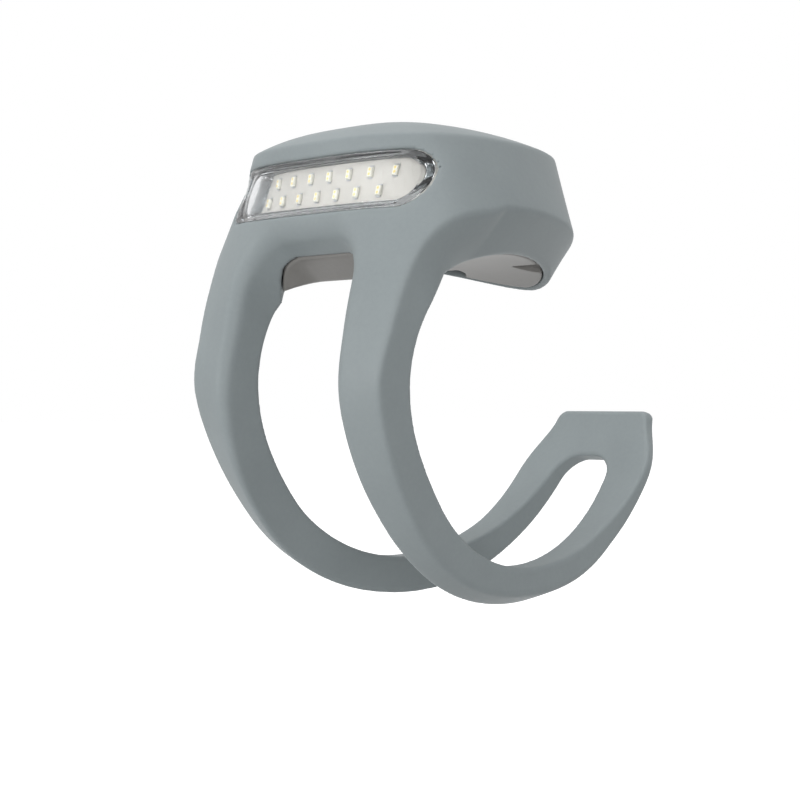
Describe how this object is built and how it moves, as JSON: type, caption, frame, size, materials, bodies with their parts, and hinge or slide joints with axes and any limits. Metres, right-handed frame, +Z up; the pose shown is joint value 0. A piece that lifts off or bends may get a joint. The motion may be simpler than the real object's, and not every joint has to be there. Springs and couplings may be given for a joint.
{
  "type": "bicycle rear light",
  "caption": "Small strap-on bicycle rear light: a lamp pod in a silicone jacket whose two legs run round the bar and join in a loop.",
  "frame": {"origin": "on the bar's axis, at the middle of the light's width", "axes": "+X along the bar, to the right seen from the lens side's back; -Y is where the lens looks; +Z is up through the lamp"},
  "size_m": [0.0314, 0.0437, 0.0423],
  "materials": {
    "silicone": "satin, light blue-grey moulded silicone",
    "lens": "clear moulded lens, polished",
    "gasket": "matt black seal",
    "carrier": "matt off-white",
    "emitter_board": "matt white solder mask",
    "emitter": "clear with pale yellow phosphor",
    "flex_circuit": "amber film",
    "pod_grey": "fine matt texture, warm grey",
    "pod_dark": "matt dark grey",
    "button": "satin dark grey",
    "steel": "satin stamped steel",
    "board": "green solder mask",
    "chip": "matt black",
    "foil": "pouch foil, satin",
    "foam": "dark foam",
    "wire": "wire sleeve",
    "indicator": "clear lens over an emitter"
  },
  "bodies": {
    "light": {"silicone_jacket": "silicone", "lens": "lens", "lens_gasket": "gasket", "led_carrier": "carrier", "led_board": "emitter_board", "leds": "emitter", "led_flex": "flex_circuit", "pod_base": "pod_grey", "pod_cover": "pod_dark", "pod_seal": "gasket", "button_seal": "gasket", "switch_body": "steel", "main_board": "board", "board_chips": "chip", "board_screws": "steel", "battery_cell": "foil", "battery_pad": "foam", "battery_leads": "wire", "usb_shell": "steel", "usb_tongue": "chip", "charge_led": "indicator"},
    "strap": {"strap_loop": "silicone"},
    "button": {"power_button": "button"},
    "switch": {"switch_stem": "chip"}
  },
  "joints": [
    {"name": "strap_flex", "type": "hinge", "parent": "light", "child": "strap", "pos_m": [0, -0.0206, 0.006], "axis": [-1, 0, 0], "range_deg": [0, 40], "stiffness_Nm_per_rad": 0.05},
    {"name": "button_press", "type": "slide", "parent": "light", "child": "button", "axis": [0, 0, -1], "range_m": [0, 0.0003], "stiffness_N_per_m": 2000},
    {"name": "switch_press", "type": "slide", "parent": "light", "child": "switch", "axis": [0, 0, -1], "range_m": [0, 0.0003]}
  ],
  "couplings": [
    {"joint": "switch_press", "follows": "button_press", "ratio": 1}
  ]
}
